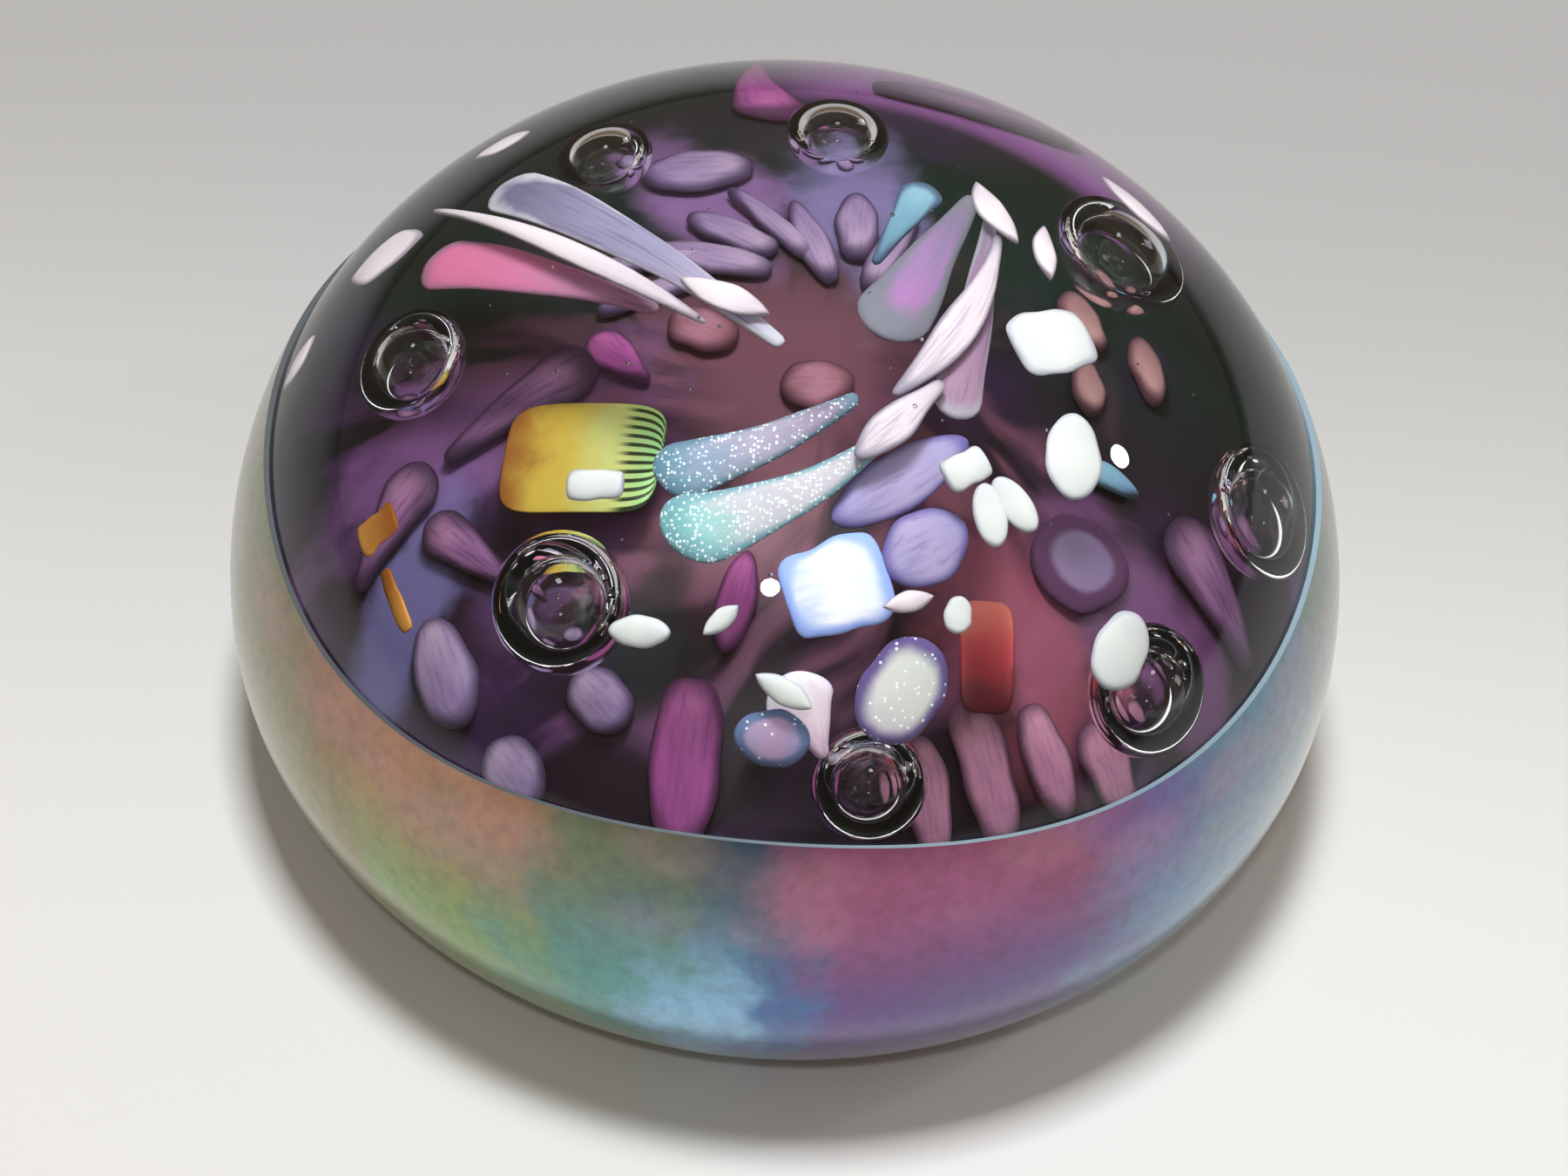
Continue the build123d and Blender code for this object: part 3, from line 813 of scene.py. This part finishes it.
# %% The flakes' shapes
gold = shard_mesh("gold", layers["flake"], -148, 15.5, 10.4, 7.6, 140, "block")
lay(settle(gold, "flake_gold_glass"), "flake_gold", "gold_flake")
red = shard_mesh("red", layers["flake"], -55, 22.5, 7.0, 3.6, -25, "block")
lay(settle(red, "flake_red_glass"), "flake_red", "red_flake")
amber = layers["amber"]
amber_rows = [(amber, -153, 30, 3.6, 2.4, -12, "block"), (amber, -144, 31, 4.6, 1.2, 71, "block")]
group("flakes_amber", "amber_flake", amber_rows)

# %% [markdown]
# ## The clear casing and its bubbles
# The casing is one thick body of clear glass. Its bubbles are not things in it but holes in
# it, so each one is a ball turned inside out and joined to the casing's own mesh. Light then
# bends at them as it does in the real weight. The base is cut flat and its edge is bevelled.

# %% The casing
base_bevel = 0.7 * MM
casing = egg("casing", clear_radius, clear_rise, clear_drop, equator, 160, 96)
cut_flat(casing, 0)
only(casing)
bpy.ops.object.mode_set(mode="EDIT")
bpy.ops.mesh.select_all(action="DESELECT")
bpy.ops.object.mode_set(mode="OBJECT")
for edge in casing.data.edges:
    ends = [casing.data.vertices[index].co for index in edge.vertices]
    edge.select = all(end.z < 1e-6 for end in ends)
bpy.ops.object.mode_set(mode="EDIT")
bpy.ops.mesh.select_mode(type="EDGE")
bpy.ops.mesh.bevel(offset=base_bevel, segments=3)
bpy.ops.object.mode_set(mode="OBJECT")
print("casing", len(casing.data.polygons), "faces")


# %% Bubbles and seeds
def inside_out(ball):
    """Put a ball's place into its mesh and turn its faces inwards, so that it is a hole."""
    only(ball)
    bpy.ops.object.transform_apply(location=True)
    bpy.ops.object.mode_set(mode="EDIT")
    bpy.ops.mesh.select_all(action="SELECT")
    bpy.ops.mesh.flip_normals()
    bpy.ops.object.mode_set(mode="OBJECT")
    return ball


# A row is a bubble's azimuth, its distance from the axis, its height and its diameter.
bubble_rows = [
    (87, 19, 29.0, 6.2),
    (128, 21, 28.5, 6.0),
    (180, 24.5, 28.5, 7.6),
    (-125, 24.5, 29.5, 9.2),
    (-78, 31, 26.0, 7.6),
    (-40, 31.5, 26.0, 8.8),
    (-7, 31, 26.0, 9.4),
    (34, 23, 29.0, 9.0),
]
bubbles = []
for azimuth, distance, height, diameter in bubble_rows:
    angle = math.radians(azimuth)
    radius = diameter / 2 * MM
    place = (distance * math.cos(angle) * MM, distance * math.sin(angle) * MM, height * MM)
    bpy.ops.object.select_all(action="DESELECT")
    bpy.ops.mesh.primitive_uv_sphere_add(segments=48, ring_count=24, radius=radius, location=place)
    bubbles.append(inside_out(bpy.context.object))

# The seeds are the pinhead bubbles that any furnace glass holds. They lie a few millimetres
# under the window, spread evenly, out to seed_spread millimetres from the axis.
random.seed(7)
seed_count = 46
seed_spread = 34
seed_layer_radius = 40
for number in range(seed_count):
    angle = random.uniform(-math.pi, math.pi)
    reach = seed_spread * math.sqrt(random.random())
    top = equator + (clear_rise - 2 * MM) * math.sqrt(1 - (reach / seed_layer_radius) ** 2)
    height = top - random.uniform(0.0, 1.2) * MM
    radius = random.uniform(0.08, 0.17) * MM
    place = (reach * math.cos(angle) * MM, reach * math.sin(angle) * MM, height)
    bpy.ops.object.select_all(action="DESELECT")
    bpy.ops.mesh.primitive_ico_sphere_add(subdivisions=2, radius=radius, location=place)
    bubbles.append(inside_out(bpy.context.object))
print(len(bubble_rows), "bubbles and", seed_count, "seeds")

# %% Joining the bubbles to the casing
only(casing)
for bubble in bubbles:
    bubble.select_set(True)
bpy.ops.object.join()
casing = settle(bpy.context.object, "clear_casing_glass")
only(casing)
bpy.ops.object.shade_smooth_by_angle(angle=math.radians(25))

# %% Clear glass that lets the lamps in
# Glass that bends light would also throw a black shadow. For the rays that look for a lamp it
# is plain see-through instead, so the lamps reach the colours inside it.
clear = Recipe("clear_glass")
clear.finish((0.985, 0.995, 0.99, 1), roughness=0.0, specular=0.5, Transmission_Weight=1.0, IOR=1.5)
see_through = clear.add("ShaderNodeBsdfTransparent")
rays = clear.add("ShaderNodeLightPath")
both = clear.add("ShaderNodeMixShader")
clear.put(both.inputs[0], rays.outputs["Is Shadow Ray"])
clear.put(both.inputs[1], clear.shader.outputs[0])
clear.put(both.inputs[2], see_through.outputs[0])
clear.put(clear.output.inputs["Surface"], both.outputs[0])
casing.data.materials.append(clear.material)
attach(casing, "root")
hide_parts("clear_casing")

# %% [markdown]
# ## The lustre skin
# Tin and silver salts fumed on to the hot glass leave a film thinner than a wavelength, and
# its colour turns with its thickness: olive, gold, green, blue, violet, magenta, and round
# again. The skin is a band of the outer form, from just over the base up to the window's rim,
# which dips a little at the four corners where the grinding went deeper.

# %% The skin's shape
# The skin starts a little over the floor, and goes a little way into the casing so that no
# gap shows between the two.
rim_height = skin_high.z
rim_wave = 0.9 * MM
skin_foot = 0.3 * MM
skin_overlap = 0.12 * MM
skin = egg("skin", body_radius, clear_rise + skin_thickness, clear_drop + skin_thickness, equator, 192, 128)
cut_flat(skin, skin_foot, True, False)
cut_flat(skin, rim_height, False, False)
only(skin)


def rim_lift(place):
    """Raise and lower the top of the band round the rim, and keep it on the outer form."""
    angle = math.atan2(place.y, place.x)
    share = max(0.0, (place.z - equator) / (rim_height - equator)) ** 2
    height = place.z + share * (rim_wave * math.cos(4 * angle) - rim_wave)
    rise = clear_rise + skin_thickness if height > equator else clear_drop + skin_thickness
    reach = body_radius * math.sqrt(1 - ((height - equator) / rise) ** 2)
    return Vector((reach * math.cos(angle), reach * math.sin(angle), height))


on_place(skin, rim_lift)
thicken = skin.modifiers.new("thickness", "SOLIDIFY")
thicken.thickness = skin_thickness + skin_overlap
thicken.offset = -1
thicken.use_even_offset = True
bpy.ops.object.modifier_apply(modifier="thickness")
settle(skin, "lustre_skin_glass")
only(skin)
bpy.ops.object.shade_smooth_by_angle(angle=math.radians(35))
print("skin", len(skin.data.polygons), "faces")

# %% The lustre
lustre = Recipe("fumed_lustre")
spot = lustre.place()
axes = lustre.add("ShaderNodeSeparateXYZ", {"Vector": spot})
around = lustre.math("ARCTAN2", axes.outputs["Y"], axes.outputs["X"])
turn_share = lustre.math("ADD", lustre.math("MULTIPLY", around, 0.5 / math.pi), 0.5)
drift = lustre.math("MULTIPLY", lustre.math("SUBTRACT", lustre.noise(spot, 60.0, 5.0, 0.6), 0.5), 0.16)
turn_share = lustre.math("ADD", turn_share, drift)
upper = lustre.ramp(turn_share, [
    (0.00, colour(122, 134, 104)), (0.042, colour(126, 136, 98)), (0.083, colour(130, 120, 80)),
    (0.125, colour(148, 110, 68)), (0.167, colour(178, 130, 96)), (0.208, colour(112, 130, 100)),
    (0.25, colour(50, 92, 116)), (0.285, colour(170, 92, 136)), (0.333, colour(156, 74, 116)),
    (0.375, colour(106, 88, 156)), (0.417, colour(78, 130, 156)), (0.458, colour(110, 134, 122)),
    (0.53, colour(122, 140, 108)), (0.60, colour(160, 128, 80)), (0.67, colour(170, 92, 106)),
    (0.74, colour(108, 80, 146)), (0.82, colour(66, 122, 150)), (0.90, colour(104, 148, 110)),
    (1.00, colour(122, 134, 104))])
# The blue-white stop at 0.24, low at the front, is a painted sheen: the bright floor mirrored by the belly.
lower_band_with_sheen = lustre.ramp(turn_share, [
    (0.00, colour(150, 162, 146)), (0.083, colour(146, 146, 106)), (0.125, colour(144, 136, 84)),
    (0.167, colour(132, 164, 92)), (0.208, colour(88, 158, 152)), (0.24, colour(142, 196, 232)),
    (0.265, colour(70, 112, 172)), (0.292, colour(104, 72, 142)), (0.333, colour(100, 82, 140)),
    (0.375, colour(104, 142, 176)), (0.417, colour(150, 168, 174)), (0.458, colour(176, 176, 172)),
    (0.53, colour(150, 160, 132)), (0.62, colour(150, 146, 92)), (0.72, colour(92, 156, 150)),
    (0.84, colour(112, 92, 156)), (0.92, colour(112, 150, 170)), (1.00, colour(150, 162, 146))])
flattened = lustre.add("ShaderNodeMapping", {"Vector": spot, "Scale": (1.0, 1.0, 1.9)}).outputs[0]
pebble_sockets = {"Vector": flattened, "Scale": 105.0, "Smoothness": 0.8}
pebble_cells = lustre.add("ShaderNodeTexVoronoi", pebble_sockets, feature="SMOOTH_F1")
pebble_place = pebble_cells.outputs["Distance"]
# The upper and the lower band meet at a ragged height. Over that, faint pebble shapes show
# through. The foot is greyer, and that pale grey is a painted sheen along the bottom edge.
ragged_height = lustre.math("ADD", axes.outputs["Z"], lustre.math("MULTIPLY", drift, 0.03))
film = lustre.mix(lustre.step(ragged_height, 0.014, 0.026), lower_band_with_sheen, upper)
over_shoulder = lustre.step(axes.outputs["Z"], 0.018, 0.022)
pebbles_through = lustre.math("MULTIPLY", over_shoulder, lustre.step(pebble_place, 0.55, 0.25))
film = lustre.mix(lustre.math("MULTIPLY", pebbles_through, 0.22), film, colour(206, 156, 168))
foot_sheen_share = lustre.math("MULTIPLY", lustre.step(axes.outputs["Z"], 0.014, 0.003), 0.55)
film = lustre.mix(foot_sheen_share, film, colour(176, 184, 190))
grain = lustre.noise(spot, 900.0, 3.0, 0.6)
film = lustre.mix(lustre.math("MULTIPLY", lustre.step(grain, 0.35, 0.75), 0.25), film, colour(60, 50, 60))
skin.data.materials.append(lustre.finish(film, roughness=0.28, specular=0.5, Metallic=0.55, Coat_Weight=0.6,
                                         Coat_Roughness=0.12))
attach(skin, "root")
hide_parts("lustre_skin")
print("lustre", len(lustre.tree.nodes), "nodes")

# %% The dark lining of the skin: painted shade and a painted highlight
# From inside, through the clear glass, the film shows dark, and milky just under the rim. The
# dark is painted shade, and the milky band under the rim is a painted highlight, brighter on
# the right.
lining = Recipe("painted_shade_lining")
lining_spot = lining.place()
cloud = lining.noise(lining_spot, 80.0, 3.0, 0.5)
lining_shade_and_highlight = lining.ramp(cloud, [(0.35, colour(20, 30, 28)), (0.7, colour(44, 48, 50))])
lining_axes = lining.add("ShaderNodeSeparateXYZ", {"Vector": lining_spot})
lit_right_share = lining.step(lining_axes.outputs["X"], -0.02, 0.03)
painted_rim_highlight = lining.mix(lit_right_share, colour(104, 108, 112), colour(170, 196, 210))
rim_highlight_share = lining.step(lining_axes.outputs["Z"], 0.0235, 0.0285)
lining_shade_and_highlight = lining.mix(lining.math("MULTIPLY", rim_highlight_share, 0.8), lining_shade_and_highlight, painted_rim_highlight)
skin.data.materials.append(lining.finish(lining_shade_and_highlight, roughness=0.5, specular=0.1))
inner_faces = 0
for face in skin.data.polygons:
    outward = Vector((face.center.x, face.center.y, (face.center.z - equator)))
    if face.normal.dot(outward) < 0:
        face.material_index = 1
        inner_faces += 1
print("lining has", inner_faces, "faces of", len(skin.data.polygons))
